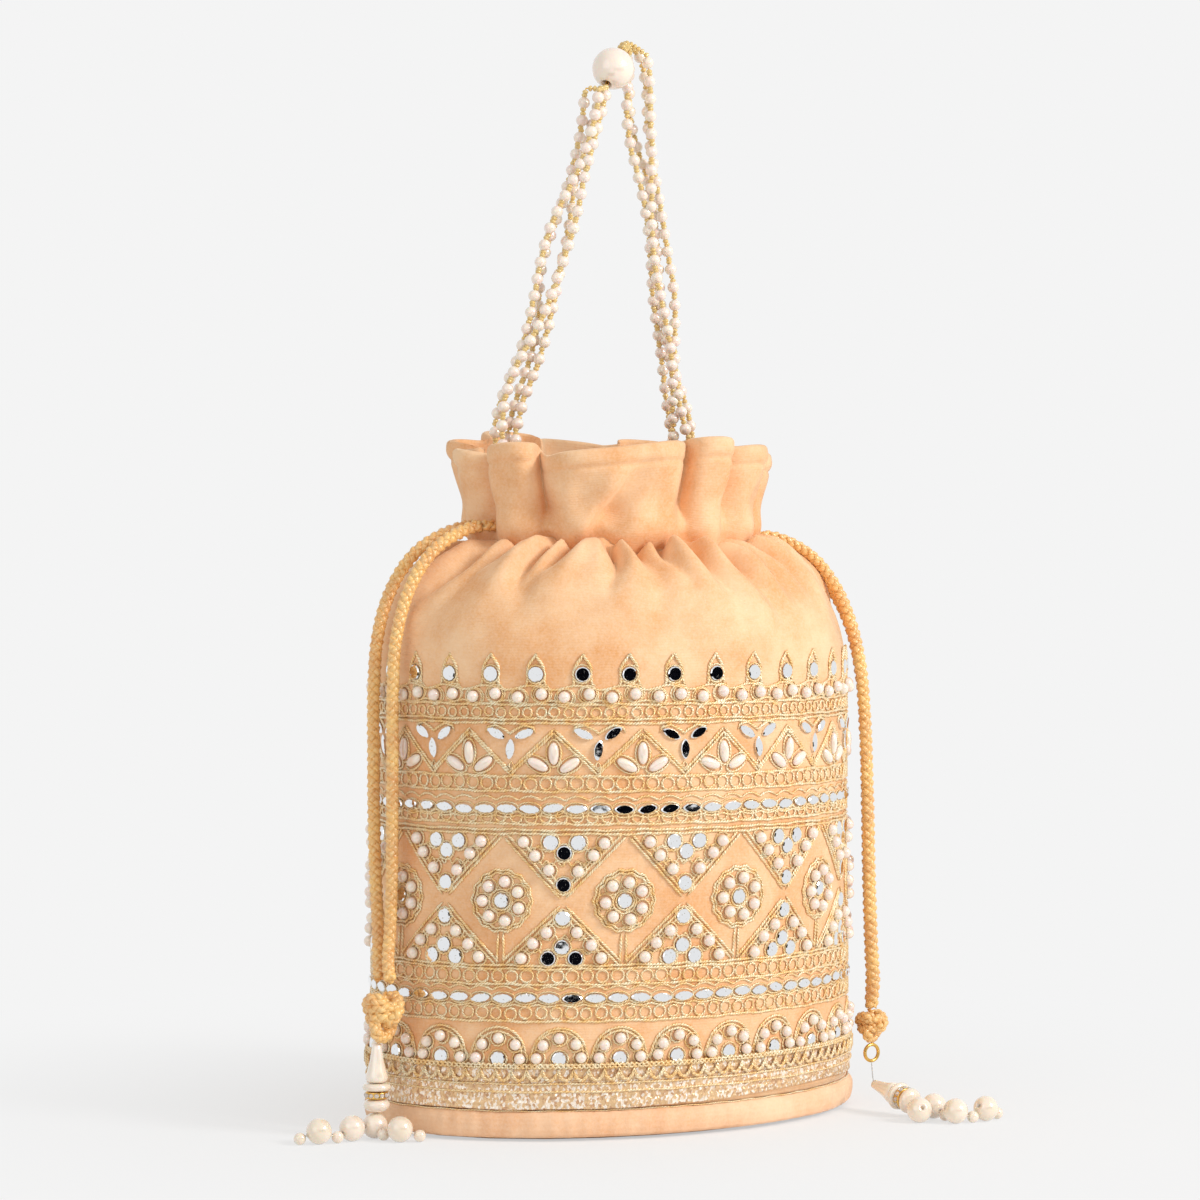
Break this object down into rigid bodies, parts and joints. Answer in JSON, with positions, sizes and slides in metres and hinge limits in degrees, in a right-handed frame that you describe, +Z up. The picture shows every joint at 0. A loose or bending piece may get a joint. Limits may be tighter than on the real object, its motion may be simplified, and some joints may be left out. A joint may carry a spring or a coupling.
{
  "type": "potli bag",
  "caption": "Velvet drawstring potli bag on a stiff oval base, with bands of mirror and pearl embroidery, a pleated frill, tasselled drawcords and a pearl strand handle.",
  "frame": {"origin": "middle of the oval base panel's underside, on which the bag stands", "axes": "+Z up, X along the long side of the oval where the drawcords come out, -Y the front"},
  "size_m": [0.227, 0.1631, 0.3629],
  "materials": {
    "velvet": "soft pile, matt",
    "hem_velvet": "soft pile, matt",
    "satin": "smooth, slight sheen",
    "board": "plain",
    "gold_lace": "woven metallic thread",
    "silk_cord": "braided, silky",
    "zari_thread": "twisted metallic thread",
    "pearl": "pearl lustre",
    "amber_bead": "clear, polished",
    "mirror_glass": "polished",
    "gold_metal": "polished",
    "nylon": "clear, smooth"
  },
  "bodies": {
    "root": {"velvet_bag": "velvet", "lining_bag": "satin", "base_panel": "hem_velvet", "base_board": "board", "hem_piping": "hem_velvet", "lace_trim": "gold_lace", "casing_tape": "satin", "drawcord_left_casing": "silk_cord", "drawcord_right_casing": "silk_cord", "drawcord_left_front": "silk_cord", "drawcord_left_back": "silk_cord", "drawcord_right_front": "silk_cord", "drawcord_right_back": "silk_cord", "handle_strand_1": "pearl", "handle_strand_2": "pearl", "handle_strand_3": "pearl", "handle_strand_4": "pearl", "handle_pearl": "pearl", "handle_anchor_left": "gold_metal", "handle_anchor_right": "gold_metal", "nylon_thread_right": "nylon", "jump_ring_right": "gold_metal", "knot_left": "silk_cord", "cone_bead_left": "pearl", "collar_bead_left": "pearl", "rondelle_left": "gold_metal", "cap_bead_left": "pearl", "knot_right": "silk_cord", "cone_bead_right": "pearl", "collar_bead_right": "pearl", "rondelle_right": "gold_metal", "cap_bead_right": "pearl", "tassel_pearls_left_1": "pearl", "tassel_pearls_left_2": "pearl", "tassel_pearls_right_1": "pearl", "tassel_pearls_right_2": "pearl"}
  },
  "joints": []
}
